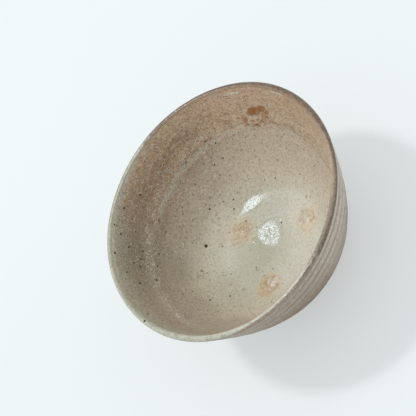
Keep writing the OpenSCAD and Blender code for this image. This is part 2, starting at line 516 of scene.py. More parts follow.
def roughened(piece, size, rise):
    """Displaces a piece along its normals by clouds of that size, in metres."""
    texture = bpy.data.textures.new(f"{piece.name} grain", "CLOUDS")
    texture.noise_scale = size
    modifier = piece.modifiers.new("grain", "DISPLACE")
    modifier.texture = texture
    modifier.texture_coords = "GLOBAL"
    modifier.strength = rise
    modifier.mid_level = 0.5
    bpy.context.view_layer.objects.active = piece
    bpy.ops.object.modifier_apply(modifier=modifier.name)


def finish_piece(piece, material, slot, *nodes):
    """Smooths a piece, gives it its glaze or clay, and sets it on the bowl's body."""
    bpy.ops.object.select_all(action="DESELECT")
    piece.select_set(True)
    bpy.context.view_layer.objects.active = piece
    bpy.ops.object.shade_smooth_by_angle(angle=math.radians(40))
    piece.data.materials.clear()
    piece.data.materials.append(material)
    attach(piece, BODY)
    if nodes:
        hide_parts(*nodes)
    return piece


# Writing node trees

class Tree:
    """A node tree written like a sum: each call adds a node and gives back its output."""

    def __init__(self, tree):
        self.tree = tree

    def node(self, kind, **settings):
        made = self.tree.nodes.new(kind)
        for name, value in settings.items():
            setattr(made, name, value)
        return made

    def feed(self, socket, value):
        if isinstance(value, bpy.types.NodeSocket):
            self.tree.links.new(value, socket)
        elif socket.type == "RGBA":
            socket.default_value = (*value, 1)
        else:
            socket.default_value = value

    def fill(self, sockets, **values):
        """Feeds sockets by name, a low line standing for a space."""
        for name, value in values.items():
            self.feed(sockets[name.replace("_", " ")], value)

    def math(self, operation, *values, clamp=False):
        made = self.node("ShaderNodeMath", operation=operation, use_clamp=clamp)
        for socket, value in zip(made.inputs, values):
            self.feed(socket, value)
        return made.outputs[0]

    def add(self, *values):
        return functools.reduce(functools.partial(self.math, "ADD"), values)

    def times(self, *values):
        return functools.reduce(functools.partial(self.math, "MULTIPLY"), values)

    def less(self, first, second):
        return self.math("SUBTRACT", first, second)

    def over(self, first, second):
        return self.math("DIVIDE", first, second)

    def line(self, value, slope, start):
        """A value times slope, plus start."""
        return self.math("MULTIPLY_ADD", value, slope, start)

    def about(self, value, reach):
        """A noise value swung about nothing, by reach to each side at most."""
        return self.line(value, 2.0 * reach, -reach)

    def vector(self, operation, *values, scale=None):
        made = self.node("ShaderNodeVectorMath", operation=operation)
        for socket, value in zip(made.inputs, values):
            self.feed(socket, value)
        if scale is not None:
            self.feed(made.inputs["Scale"], scale)
        scalar = operation in ("DOT_PRODUCT", "LENGTH", "DISTANCE")
        return made.outputs["Value" if scalar else "Vector"]

    def apart(self, kind, value):
        """The parts of a vector (XYZ) or of a colour (Color)."""
        made = self.node(f"ShaderNodeSeparate{kind}")
        self.feed(made.inputs[0], value)
        return made.outputs

    def span(self, value, low, high, start=0.0, end=1.0):
        """Smooth step of a value from low to high, given out as start to end."""
        made = self.node("ShaderNodeMapRange", interpolation_type="SMOOTHSTEP")
        self.fill(made.inputs, Value=value, From_Min=low, From_Max=high, To_Min=start, To_Max=end)
        return made.outputs["Result"]

    def hoop(self, value, top, full_top, full_foot, foot):
        """1 from full_top to full_foot: it comes in from top and goes out towards foot."""
        return self.times(self.span(value, top, full_top), self.span(value, foot, full_foot))

    def mix(self, factor, first, second):
        made = self.node("ShaderNodeMix", data_type="RGBA")
        self.feed(made.inputs[0], factor)
        self.feed(made.inputs[6], first)
        self.feed(made.inputs[7], second)
        return made.outputs[2]

    def per(self, size):
        """How many of a size go into one unit, for a number or a socket."""
        if isinstance(size, bpy.types.NodeSocket):
            return self.over(1.0, size)
        return 1 / size

    def noise(self, vector, size, detail=2.0, roughness=0.5, output="Fac"):
        """Noise whose features are about size, in the vector's own unit."""
        made = self.node("ShaderNodeTexNoise")
        self.fill(made.inputs, Vector=vector, Scale=self.per(size), Detail=detail, Roughness=roughness)
        return made.outputs[output]

    def bent(self, vector, size, reach):
        """A vector pushed aside by noise, so that what follows it isn't straight."""
        push = self.noise(vector, size, output="Color")
        return self.vector("ADD", vector, self.vector("SCALE", push, scale=reach))

    def cells(self, vector, spacing, feature="F1"):
        """A field of cells about spacing apart."""
        made = self.node("ShaderNodeTexVoronoi", feature=feature)
        self.fill(made.inputs, Vector=vector, Scale=self.per(spacing))
        return made.outputs

    def group(self, tree, **inputs):
        made = self.node("ShaderNodeGroup", node_tree=tree)
        self.fill(made.inputs, **inputs)
        return made.outputs


def node_group(name, inputs, outputs):
    """An empty shader group with named sockets, its writer, and what it takes and gives."""
    tree = bpy.data.node_groups.new(name, "ShaderNodeTree")
    for label, kind in inputs:
        tree.interface.new_socket(label, in_out="INPUT", socket_type=f"NodeSocket{kind}")
    for label, kind in outputs:
        tree.interface.new_socket(label, in_out="OUTPUT", socket_type=f"NodeSocket{kind}")
    writer = Tree(tree)
    taken = writer.node("NodeGroupInput").outputs
    given = writer.node("NodeGroupOutput").inputs
    return tree, writer, taken, given


def bowl_place_group(sizes):
    """Where a point lies on the bowl: millimetres, depth below the lip, radius and level bearing vector."""
    tree, w, _, given = node_group("Bowl place", (), (
        ("Point", "Vector"), ("Depth", "Float"), ("Radius", "Float"), ("Round", "Vector")))
    point = w.vector("SCALE", w.node("ShaderNodeTexCoord").outputs["Object"], scale=1 / MM)
    level = w.vector("MULTIPLY", point, (1, 1, 0))
    depth = w.less(sizes.height / MM, w.apart("XYZ", point)["Z"])
    w.fill(given, Point=point, Depth=depth)
    w.fill(given, Radius=w.vector("LENGTH", level), Round=w.vector("NORMALIZE", level))
    return tree


# What a field takes, and a field of scattered dots, whose size is a fraction of the spacing
FIELD_INPUTS = (("Point", "Vector"), ("Spacing", "Float"))
DOT_INPUTS = (*FIELD_INPUTS, ("Size", "Float"), ("Share", "Float"))


def scattered(w, point, taken, keeper, sizer, least, most):
    """Dots in the cells of a field: whether a cell keeps its dot, and how far out a point lies in it."""
    cells = w.cells(point, taken["Spacing"])
    luck = w.apart("Color", cells["Color"])
    kept = w.math("LESS_THAN", luck[keeper], taken["Share"])
    reach = w.times(taken["Size"], w.line(luck[sizer], most - least, least))
    return kept, w.over(cells["Distance"], reach)


def iron_pepper_group():
    """Scattered dark specks: a share of the cells of a field hold one each, of mixed sizes."""
    tree, w, taken, given = node_group("Iron pepper", DOT_INPUTS, (("Mask", "Float"),))
    kept, out = scattered(w, taken["Point"], taken, "Red", "Green", 0.2, 1.0)
    w.fill(given, Mask=w.times(w.span(out, 1.0, 0.55), kept))
    return tree


def glaze_pits_group():
    """Pinholes and burst bubbles: a dark pit in a raised pale ring."""
    tree, w, taken, given = node_group("Glaze pits", DOT_INPUTS, (
        ("Pit", "Float"), ("Ring", "Float"), ("Height", "Float")))
    bent = w.bent(taken["Point"], 1 / 1.3, 0.5)
    kept, out = scattered(w, bent, taken, "Blue", "Red", 0.4, 1.1)
    pit = w.times(w.span(out, 0.9, 0.35), kept)
    ring = w.times(w.hoop(out, 0.6, 1.05, 1.15, 1.7), kept)
    w.fill(given, Pit=pit, Ring=ring, Height=w.less(ring, w.times(pit, 1.6)))
    return tree


def surface_spot_group():
    """A blotch on the wall at a bearing and a depth, with a ragged edge."""
    tree, w, taken, given = node_group("Surface spot", (
        ("Point", "Vector"), ("Depth", "Float"), ("Facing", "Vector"), ("Low", "Float"),
        ("Half Width", "Float"), ("Half Height", "Float"), ("Lean", "Float"), ("Ragged", "Float"),
    ), (("Mask", "Float"),))
    quarter_turn = w.node("ShaderNodeVectorRotate", rotation_type="Z_AXIS")
    w.fill(quarter_turn.inputs, Vector=taken["Facing"], Angle=math.pi / 2)
    across = w.less(taken["Depth"], taken["Low"])
    round_by = w.vector("DOT_PRODUCT", taken["Point"], quarter_turn.outputs[0])
    along = w.less(round_by, w.times(across, taken["Lean"]))
    wide = w.math("POWER", w.math("ABSOLUTE", w.over(along, taken["Half Width"])), 3.0)
    tall = w.math("POWER", w.math("ABSOLUTE", w.over(across, taken["Half Height"])), 3.0)
    out = w.math("POWER", w.add(wide, tall), 1 / 3)
    torn = w.line(w.less(w.noise(taken["Point"], 2.2, 3.0, 0.6), 0.5), taken["Ragged"], out)
    front = w.math("GREATER_THAN", w.vector("DOT_PRODUCT", taken["Point"], taken["Facing"]), 0.0)
    w.fill(given, Mask=w.times(w.span(torn, 1.15, 0.78), front))
    return tree


def throwing_lines_group():
    """Fine level lines that the potter's fingers leave."""
    tree, w, taken, given = node_group("Throwing lines", (
        ("Round", "Vector"), ("Depth", "Float"), ("Fine", "Float")), (("Value", "Float"),))
    rows = w.node("ShaderNodeCombineXYZ")
    w.fill(rows.inputs, Z=w.over(taken["Depth"], taken["Fine"]))
    spot = w.vector("ADD", w.vector("SCALE", taken["Round"], scale=1.6), rows.outputs[0])
    w.fill(given, Value=w.noise(spot, 1.0, 3.0, 0.55))
    return tree


def pale_net_group():
    """A net of thin lines between close-set pits."""
    tree, w, taken, given = node_group("Pale net", FIELD_INPUTS, (("Line", "Float"),))
    cells = w.cells(w.bent(taken["Point"], 1 / 1.1, 1.2), taken["Spacing"], "DISTANCE_TO_EDGE")
    w.fill(given, Line=w.span(cells["Distance"], 0.14, 0.03))
    return tree


def crease_group():
    """Soft folds with sharp valleys, like those of a skin, on glaze that set as it cooled."""
    tree, w, taken, given = node_group("Crease", FIELD_INPUTS, (("Height", "Float"),))
    folds = w.noise(taken["Point"], taken["Spacing"])
    w.fill(given, Height=w.math("ABSOLUTE", w.about(folds, 1.5)))
    return tree


class Coat(Tree):
    """A tree that knows where a point lies on the bowl, and lays colour over colour.

    Bearings are in degrees round from +X. Depths below the lip, radii and sizes are in millimetres.
    Shares and strengths run from 0 to 1.
    """

    def __init__(self, tree, shared, colours):
        super().__init__(tree)
        self.shared = shared
        self.colours = colours
        at = self.part("place")
        self.point, self.depth, self.radius, self.round = at["Point"], at["Depth"], at["Radius"], at["Round"]
        self.tone = None

    def part(self, name, **inputs):
        """A shared group, placed in this tree."""
        return self.group(self.shared[name], **inputs)

    def blend(self, under, over, *shares):
        """One colour over another, each by name or socket, as thickly as the product of the shares says."""
        under, over = (self.colours[each] if isinstance(each, str) else each for each in (under, over))
        return self.mix(self.times(*shares), under, over)

    def lay(self, over, *shares):
        """Lays a colour over the tone."""
        self.tone = self.blend(self.tone, over, *shares)

    def cosine(self, degrees):
        """Cosine of the turn from a bearing."""
        return self.vector("DOT_PRODUCT", self.round, facing(degrees))

    def side(self, degrees, low, high, away=0.0, there=1.0):
        """A value that changes from away to there, towards a bearing, by the cosine of the turn."""
        return self.span(self.cosine(degrees), low, high, away, there)

    def field(self, size, detail, roughness=0.5):
        """Noise over the bowl."""
        return self.noise(self.point, size, detail, roughness)

    def distance(self, place):
        """Distance from a place that is given in metres."""
        return self.vector("DISTANCE", self.point, tuple(place / MM))

    def mark(self, bearing, low, half_width, half_height, ragged, lean=0.0):
        """Mask of a mark on the wall at a bearing and a depth."""
        return self.part(
            "spot", Point=self.point, Depth=self.depth, Facing=facing(bearing), Low=low,
            Half_Width=half_width, Half_Height=half_height, Ragged=ragged, Lean=lean)["Mask"]

    def pepper(self, spacing, size, share):
        """Mask of scattered dots."""
        return self.part("pepper", Point=self.point, Spacing=spacing, Size=size, Share=share)["Mask"]

    def pits(self, spacing, size, share):
        """Masks and height of burst bubbles."""
        return self.part("pits", Point=self.point, Spacing=spacing, Size=size, Share=share)

    def net(self, spacing):
        """Mask of a net of thin lines."""
        return self.part("net", Point=self.point, Spacing=spacing)["Line"]

    def creases(self):
        """Height of the folds in the glaze."""
        return self.part("crease", Point=self.point, Spacing=2.4)["Height"]

    def lines(self, fine, depth=None):
        """Value of the throwing lines, by their fineness."""
        depth = self.depth if depth is None else depth
        return self.part("lines", Round=self.round, Depth=depth, Fine=fine)["Value"]

    def lay_grain(self, dark, pale):
        """Sandy grain: fine dark and pale crumbs."""
        crumbs = self.field(1.3, 3.0, 0.75)
        dust = self.field(0.55, 2.0, 0.6)
        self.lay("umber_and_shade", self.span(crumbs, 0.5, 0.33), dark)
        self.lay("wad", self.span(crumbs, 0.52, 0.68), pale)
        self.lay("umber_and_shade", self.span(dust, 0.47, 0.3), dark, 0.8)
        self.lay("wad", self.span(dust, 0.53, 0.7), pale, 0.8)

    def lay_specks(self):
        """Iron pepper: fine brown dots and a few larger dark ones."""
        self.lay("pepper", self.pepper(2.0, 0.2, 0.35), 0.42)
        self.lay("pepper", self.pepper(4.0, 0.16, 0.25), 0.85)


# Layers of the glaze inside, from the lowest to the topmost

def lay_ground(w):
    """From lip to well: blush or olive, then tan, sand and pale celadon, with a pale shelf over the well."""
    drift = w.add(w.depth, w.about(w.cloud, 7.0))
    pink = w.add(w.span(w.cloud, 0.45, 0.65, 0.0, 0.6), w.side(58, 0.88, 0.98, 0.0, 0.4))
    rosy = w.blend("blush", "rose", pink, w.span(w.depth, 16.0, 8.0))
    rosy = w.blend(rosy, "cocoa", w.side(90, 0.6, 0.97))
    w.tone = w.blend("olive", rosy, w.warm)
    w.lay("tan", w.span(drift, 17.0, 32.0), w.line(w.warm, 0.8, 0.2))
    w.lay(w.blend("sand", "celadon", w.left, 0.35), w.span(drift, 33.0, 47.0))
    wider = w.side(165, 0.5, 1.0, 0.0, -5.0)
    well = w.span(w.add(w.radius, w.about(w.cloud, 5.0), wider), 45.0, 23.0)
    bright_side = w.add(w.bright, w.side(-140, 0.85, 1.0, 0.0, 0.5))
    w.lay(w.blend("celadon", "pearl_and_highlight", bright_side, 0.66), well)
    w.lay("pearl_and_highlight", w.side(120, 0.75, 0.95), w.hoop(w.radius, 19.0, 31.0, 37.0, 43.0), 0.4)


def lay_hoops(w):
    """Level hoops of darker glaze on one side, partly thin glaze and partly painted shade; painted shade on
    the wall that faces away from the window; painted light where the window's shadow falls; and paler washes
    beside them.
    """
    # The hoops are partly glaze lying thin and partly painted shade of the wall's broad undulations.
    upper = w.hoop(w.add(w.depth, w.about(w.cloud, 3.0)), 8.0, 13.5, 18.0, 22.0)
    sunk = w.add(w.depth, w.about(w.cloud, 1.0), w.side(155, 0.6, 1.0, 0.0, 2.5))
    lower = w.hoop(sunk, 24.5, 27.0, w.side(75, 0.6, 0.95, 32.3, 28.3), w.side(75, 0.6, 0.95, 33.6, 38.6))
    w.lay("umber_and_shade", w.add(upper, w.times(lower, 1.2)), w.left, w.side(158, 0.6, 1.0, 0.36, 0.16))
    # Painted shade: umber on the wall that faces away from the window.
    shade = w.times(w.side(96, 0.85, 0.99), w.span(w.radius, 37.0, 46.0), w.span(w.depth, 3.0, 8.0))
    w.lay("umber_and_shade", shade, w.span(w.depth, 24.0, 27.0, 0.36, 0.12))
    grey = w.times(w.left, w.span(w.depth, 29.0, 36.0), w.span(w.radius, 40.0, 47.0))
    w.lay("olive", grey, w.side(158, 0.6, 1.0, 0.18, 0.02))
    # Painted light: sand on the wall at bearing -160, where the window's shadow falls.
    near_wall_light = w.times(w.side(-160, 0.45, 1.0), w.span(w.radius, 44.0, 50.0))
    w.lay("sand", near_wall_light, w.span(w.depth, 10.0, 26.0, 0.28, 0.45))
    w.lay("sand", w.side(138, 0.93, 0.99), w.hoop(w.depth, 21.0, 25.0, 34.0, 39.0), 0.14)
    w.lay("pale_lip", w.span(w.warm, 0.6, 0.0), w.span(w.depth, 12.0, 4.0), 0.22)
    w.lay("pale_lip", w.side(122, 0.7, 0.95), w.span(w.add(w.depth, w.about(w.cloud, 4.0)), 6.0, 1.0), 0.4)


def lay_band(w):
    """The band below the lip: a wandering lower edge, a rusty lower half and a pale line under it."""
    edge = w.add(w.side(-60, 0.0, 0.85, 22.9, 34.5), w.about(w.mottle, 0.9))
    over_edge = w.less(edge, w.depth)
    band = w.times(w.span(over_edge, -0.25, 0.35), w.line(w.warm, 0.75, 0.25))
    keen = w.side(-28, 0.85, 1.0, 1.0, 0.4)
    calm = w.side(115, 0.75, 0.97, 1.0, 0.2)
    low_band = w.times(band, w.span(w.depth, 5.0, 18.0, 0.3, 1.0), keen)
    w.lay("pearl_and_highlight", w.hoop(over_edge, -5.0, -2.0, -0.8, 0.4), w.side(70, 0.5, 0.9), 0.38)
    w.lay("umber_and_shade", w.span(w.mottle, 0.45, 0.7), low_band, 0.3)
    w.lay("flush", w.span(w.mottle, 0.6, 0.35), band, calm, 0.3)
    w.lay("rust", band, keen, w.span(over_edge, 4.5, 0.6), w.span(w.mottle, 0.35, 0.6), 0.3)
    w.lay("rust", w.span(w.fleck, 0.53, 0.62), w.line(low_band, 0.5, 0.06), calm)
    w.lay(w.blend("rust", "pepper", 0.6), w.pepper(3.6, 0.25, w.times(low_band, 0.5)), 0.8)
    w.lay("rust", w.side(-7, 0.93, 1.0), w.span(w.depth, 17.0, 8.0), 0.22)
    return band, low_band


def lay_splash(w, low_band):
    """A splash of orange rings, which thin out along the band."""
    splash = w.mark(*SPLASH, 1.4)
    rings = w.pits(2.4, 0.42, w.add(splash, w.times(low_band, 0.3)))
    w.lay("rust", splash, w.span(w.fleck, 0.44, 0.56), 0.32)
    w.lay("rust", rings["Ring"], w.line(splash, 0.2, 0.45))
    return rings


def lay_flushes(w):
    """Ochre flush round each wad scar."""
    level = w.vector("MULTIPLY", w.point, (1, 1, 0))
    ochre = w.blend("flush", "peach", w.bright, 0.9)
    ragged = w.add(w.about(w.mottle, 4.0), w.about(w.fleck, 3.0))
    for bearing, ring, reach, strength in FLUSHES:
        middle = (*(ring * heading(math.radians(bearing))), 0.0)
        gap = w.add(w.vector("DISTANCE", level, middle), ragged)
        near = w.span(gap, reach, 0.45 * reach, 0.0, strength)
        w.lay(ochre, near)
        w.lay("umber_and_shade", near, w.span(w.fleck, 0.5, 0.62), 0.5)


def lay_bubbles(w, band, ridge_depth):
    """Burst bubbles, thick along the ridge and in the band, and a net of pale rims on the ridge."""
    off_ridge = w.less(w.depth, w.add(ridge_depth, w.about(w.cloud, 3.0)))
    ridge_side = w.times(w.span(w.math("ABSOLUTE", off_ridge), 5.5, 1.0), w.side(130, 0.0, 0.6))
    pitted = w.times(w.side(130, 0.3, 0.8), w.span(w.radius, 36.0, 44.0), 0.14)
    wall = w.span(w.radius, 46.0, 56.0, 0.03, 0.35)
    pits = w.pits(1.7, 0.38, w.add(w.times(band, 0.35), w.times(ridge_side, 0.7), wall, pitted))
    w.lay("wad", pits["Ring"], w.line(ridge_side, 0.2, 0.35))
    w.lay("umber_and_shade", pits["Pit"], 0.6)
    net = w.times(w.net(1.5), ridge_side, w.span(w.mottle, 0.35, 0.6))
    w.lay("wad", net, 0.42)
    share = w.times(w.side(125, -0.1, 0.5), w.span(w.depth, 34.0, 26.0), 0.55)
    w.lay("speck", w.pepper(2.6, 0.24, share), 0.6)
    return pits, net


def lay_marks(w):
    """The pale bow over the splash, the iron blotch, and the pale strokes under the lip, which are painted
    reflections.
    """
    bow = w.math("SUBTRACT", w.mark(*SPLASH_BOW, 0.7), w.mark(*SPLASH_HOLLOW, 0.7), clamp=True)
    w.lay("wad", bow, w.span(w.depth, 25.5, 23.5), 0.4)
    for *place, strength in BLOTCHES:
        w.lay("rust", w.mark(*place, 0.9, lean=BLOTCH_LEAN), w.span(w.fleck, 0.2, 0.5, 0.6, 1.0), strength)
    # Painted reflections: pearl strokes that stand in for glints under the lip
    for place in PAINTED_GLINT_STROKES:
        w.lay("pearl_and_highlight", w.mark(*place, 0.8), 0.8)


def lay_lip_run(w):
    """Where it lies thick, the lip's pale glaze runs a little way down."""
    lip = w.part("lip")
    run_end = w.side(118, 0.75, 0.95, 2.0, 3.6)
    run = w.span(w.add(w.depth, w.about(w.mottle, 1.6)), run_end, 0.2)
    w.lay(lip["Color"], w.less(1.0, lip["Thin"]), run)


def inside_gloss(w):
    """Roughness inside: the well is glassy, apart from two duller rings round its middle."""
    inner_ring = w.times(w.hoop(w.radius, 15.0, 18.0, 24.0, 27.0), 0.2)
    outer_ring = w.times(w.side(65, 0.92, 0.985, 1.0, 0.0), w.hoop(w.radius, 25.0, 28.0, 33.0, 36.0), 0.16)
    return w.add(w.span(w.radius, 33.0, 44.0, 0.23, 0.42), inner_ring, outer_ring, w.about(w.fleck, 0.06))


def inside_relief(w, pits, rings, net):
    """Fine relief inside: orange peel and creases in the well, grit on the wall, and the burst bubbles."""
    peel = w.times(w.field(1.9, 3.0), w.span(w.radius, 36.0, 31.0, 0.9, 0.55))
    grit = w.times(w.field(1.0, 3.0, 0.6), w.span(w.radius, 26.0, 40.0, 0.3, 1.0))
    crease = w.times(w.creases(), w.span(w.radius, 36.0, 31.0), 0.35)
    return w.add(peel, grit, crease, pits["Height"], w.times(rings["Height"], 0.4), net)


class Finishes:
    """The bowl's materials, made once, with the groups that they share."""

    def __init__(self, sizes, colours):
        self.sizes = sizes
        self.colours = {name: tuple(getattr(colours, name)) for name in BowlColours.__annotations__}
        self.shared = {
            "place": bowl_place_group(sizes), "pepper": iron_pepper_group(), "pits": glaze_pits_group(),
            "spot": surface_spot_group(), "lines": throwing_lines_group(), "net": pale_net_group(),
            "crease": crease_group(),
        }
        self.shared["lip"] = self.lip_tone_group()
        self.shared["inside"] = self.inside_tone_group()
        self.shared["outside"] = self.outside_tone_group()

    def start(self, name):
        """A material, and the coat that is written in it."""
        material = bpy.data.materials.new(name)
        material.use_nodes = True
        return material, Coat(material.node_tree, self.shared, self.colours)

    def dressed(self, material, w, roughness, relief=None, rise=0.0, mirror=None):
        """Feeds a coat to its material's shader: tone, roughness, relief and how strongly it mirrors."""
        shader = material.node_tree.nodes["Principled BSDF"]
        w.fill(shader.inputs, Base_Color=w.tone, Roughness=roughness)
        if mirror is not None:
            w.fill(shader.inputs, Specular_IOR_Level=mirror, Specular_Tint=self.colours["glint"])
        if relief is not None:
            bump = w.node("ShaderNodeBump")
            w.fill(bump.inputs, Distance=rise, Height=relief)
            w.fill(shader.inputs, Normal=bump.outputs["Normal"])
        return material

    def tone_group(self, name, *values):
        """An empty group that gives a colour and some values, and its coat."""
        outputs = [("Color", "Color"), *((value, "Float") for value in values)]
        tree, _, _, given = node_group(name, (), outputs)
        return tree, Coat(tree, self.shared, self.colours), given

    def lip_tone_group(self):
        """Colour of the lip: pale where the glaze lies thick, dark where it ran thin."""
        tree, w, given = self.tone_group("Lip tone", "Thin")
        wander = w.about(w.field(7.0, 4.0, 0.65), 0.25)
        thin = w.span(w.add(w.cosine(-3), wander), -0.02, 0.2)
        w.tone = w.blend("pale_lip", "dark_lip", thin)
        w.lay("umber_and_shade", w.span(w.field(1.8, 3.0, 0.65), 0.48, 0.62), w.line(thin, 0.3, 0.3))
        w.lay_grain(0.28, 0.28)
        w.fill(given, Color=w.tone, Thin=thin)
        return tree

    def inside_tone_group(self):
        """Colour, gloss and fine relief of the glaze inside, from lip to well."""
        tree, w, given = self.tone_group("Inside tone", "Roughness", "Height")
        w.cloud = w.field(16.0, 3.0)
        w.mottle = w.field(5.0, 4.0, 0.6)
        w.fleck = w.field(1.9, 4.0, 0.65)
        w.warm = w.side(25, -0.3, 0.45)
        w.left = w.side(125, 0.1, 0.75)
        w.bright = w.side(-50, -0.1, 0.85)
        lay_ground(w)
        lay_hoops(w)
        band, low_band = lay_band(w)
        rings = lay_splash(w, low_band)
        lay_flushes(w)
        pits, net = lay_bubbles(w, band, self.sizes.inner_ridge_depth / MM)
        sandy = w.span(w.radius, 26.0, 42.0, 0.31, 0.46)
        w.lay_grain(sandy, w.times(sandy, w.line(w.warm, 0.6, 0.48)))
        w.lay_specks()
        lay_marks(w)
        lay_lip_run(w)
        w.fill(given, Color=w.tone, Roughness=inside_gloss(w), Height=inside_relief(w, pits, rings, net))
        return tree

    def outside_tone_group(self):
        """Colour, gloss and fine relief of the glaze outside, with painted shade under each finger ridge and
        painted light over it.
        """
        tree, w, given = self.tone_group("Outside tone", "Roughness", "Height")
        s = self.sizes
        flat = w.apart("XYZ", w.point)
        bearing = w.math("ARCTAN2", flat["Y"], flat["X"])
        first = s.ridge_start / s.ridge_pitch + RIDGE_FRONT / 360
        lines, broad = w.lines(1.6), w.lines(7.0)
        turns = w.add(w.line(w.depth, MM / s.ridge_pitch, -first), w.about(broad, 0.12))
        slope = w.math("SINE", w.less(w.times(turns, math.tau), bearing))
        upper = w.span(w.depth, 34.0, 16.0)
        # Painted shade: a dark band under each finger ridge, which with random lines turns the glaze to
        # mauve.
        shadow = w.times(w.span(slope, 0.1, 1.0), w.span(broad, 0.25, 0.6, 0.5, 1.0), upper)
        dark = w.add(shadow, w.about(lines, 0.5), w.about(broad, 0.4))
        w.tone = w.blend("ash", "mauve_and_shade", w.span(dark, -0.1, 0.9))
        # Painted light: the flank over each ridge, which faces up, is paled.
        w.lay("wad", w.span(slope, -0.5, -1.0), upper, 0.22)
        # Browner towards the foot, and umber painted shade on the side at bearing -125.
        low = w.span(w.add(w.depth, w.about(w.field(14.0, 3.0), 8.0)), 16.0, 50.0, 0.05, 0.6)
        w.lay("umber_and_shade", w.add(low, w.side(-125, 0.68, 0.98, 0.0, 0.45)))
        w.lay("rust", w.span(w.field(1.8, 4.0, 0.65), 0.56, 0.68, 0.0, 0.35))
        pits = w.pits(1.8, 0.3, 0.25)
        w.lay("umber_and_shade", pits["Pit"], 0.5)
        w.lay_grain(0.3, 0.3)
        w.lay_specks()
        relief = w.add(w.times(w.field(1.8, 2.0), 0.6), w.times(lines, 1.2), pits["Height"])
        w.fill(given, Color=w.tone, Roughness=w.span(lines, 0.3, 0.7, 0.38, 0.55), Height=relief)
        return tree

    def inner_glaze(self):
        material, w = self.start("Inner glaze")
        inside = w.part("inside")
        w.tone = inside["Color"]
        return self.dressed(material, w, inside["Roughness"], inside["Height"], rise=0.16 * MM, mirror=0.5)

    def glaze_pool(self):
        material, w = self.start("Pooled glaze")
        w.tone = w.part("inside")["Color"]
        w.lay("pool", w.span(w.radius, 15.5, 3.0), 0.6)
        roughness = w.span(w.field(2.0, 2.0), 0.3, 0.7, 0.2, 0.28)
        crinkle = w.add(w.creases(), w.times(w.field(0.9, 2.0), 0.3))
        relief = w.times(crinkle, w.span(w.radius, 15.5, 13.0, 0.4, 1.0))
        return self.dressed(material, w, roughness, relief, rise=0.14 * MM, mirror=0.55)

    def outer_glaze(self):
        """The outside's tone, with the lip's dark glaze running a little way down over it."""
        material, w = self.start("Outer glaze")
        outside, lip = w.part("outside"), w.part("lip")
        w.tone = outside["Color"]
        run = w.span(w.add(w.depth, w.about(w.lines(5.0), 0.8)), 3.8, 1.5)
        w.lay(lip["Color"], run, lip["Thin"], 0.85)
        return self.dressed(material, w, outside["Roughness"], outside["Height"], rise=0.14 * MM)

    def lip_glaze(self):
        """Over the lip the coat turns from the outside's tone to the lip's own and then to the inside's. On
        the right the inner half is darkened as painted shade, and a pale line along the near lip is a painted
        highlight.
        """
        material, w = self.start("Lip glaze")
        lip, inside, outside = w.part("lip"), w.part("inside"), w.part("outside")
        half = self.sizes.lip_thickness / 2 / MM
        out = w.less(w.radius, self.sizes.rim_radius / MM - half)
        turn = w.math("ARCTAN2", w.less(half, w.depth), out)
        turn = w.add(turn, w.about(w.field(2.4, 3.0, 0.65), 0.5))
        start = w.span(lip["Thin"], 0.0, 1.0, w.side(-165, 0.62, 0.92, 1.05, 0.15), -0.5)
        w.tone = w.blend(outside["Color"], "dark_lip", w.side(-125, 0.8, 0.97, 0.5, 0.05))
        w.lay(lip["Color"], w.span(turn, start, w.add(start, 0.35)))
        # Painted shade: on the right, the lip's inner half darkens towards umber and mauve.
        right = w.side(-75, 0.55, 0.97)
        inner = w.blend(inside["Color"], "umber_and_shade", w.line(right, -0.5, 0.5))
        inner = w.blend(inner, "mauve_and_shade", right, w.span(turn, 2.3, 1.2), 0.6)
        w.lay(inner, w.span(w.add(turn, right), 1.65, 2.35), lip["Thin"], 0.85)
        w.lay("olive", w.span(turn, 1.6, 2.3), w.less(1.0, lip["Thin"]), w.side(110, -0.1, 0.5), 0.6)
        # Painted highlight: a pearl line along the inner edge of the near lip.
        w.lay("pearl_and_highlight", w.side(-106, 0.955, 0.985), w.span(turn, 1.3, 1.65), 0.85)
        roughness = w.span(w.field(2.0, 2.0), 0.3, 0.7, 0.2, 0.32)
        return self.dressed(material, w, roughness, w.field(1.6, 3.0), rise=0.07 * MM, mirror=0.45)

    def bare_clay(self):
        material, w = self.start("Bare clay")
        lines = w.lines(0.8, depth=w.add(w.depth, w.radius))
        w.tone = w.blend("clay", "toast", w.span(w.field(9.0, 3.0), 0.35, 0.7))
        w.lay("umber_and_shade", w.span(lines, 0.45, 0.7, 0.0, 0.35))
        grog = w.pepper(1.6, 0.3, 0.35)
        w.lay("wad", grog, 0.5)
        w.lay_specks()
        roughness = w.span(lines, 0.2, 0.8, 0.75, 0.92)
        grit = w.add(w.field(0.7, 3.0, 0.6), w.times(lines, 1.2), grog)
        return self.dressed(material, w, roughness, grit, rise=0.2 * MM)

    def wad_clay(self, name, spot, lumps, brown, ochre, pale):
        """Wad clay: ochre with pale crackle and paler lumps, turning to the glaze of the well at its edge."""
        material, w = self.start(name)
        mottle = w.field(2.6, 4.0, 0.65)
        crackle = w.net(1.9)
        w.tone = w.blend("flush", "rust", w.span(mottle, 0.45, 0.6, 0.0, brown))
        w.lay("celadon", w.span(w.field(1.6, 3.0, 0.6), 0.5, 0.62, 0.0, 0.55))
        w.lay("wad", crackle, 0.7)
        gap = w.add(w.distance(spot), w.about(mottle, 3.5))
        w.lay(w.part("inside")["Color"], w.span(gap, 3.0, 5.4, 1 - ochre, 1.0))
        for place, reach in lumps:
            near = w.add(w.distance(place), w.about(mottle, 1.0))
            w.lay("rust", w.span(near, 1.6 * reach, 1.1 * reach, 0.0, 0.5 * brown))
            w.lay("wad", w.span(near, reach, 0.5 * reach, 0.0, pale))
        roughness = w.span(mottle, 0.3, 0.7, 0.15, 0.4)
        return self.dressed(material, w, roughness, w.add(w.field(0.9, 3.0, 0.6), crackle), rise=0.14 * MM)

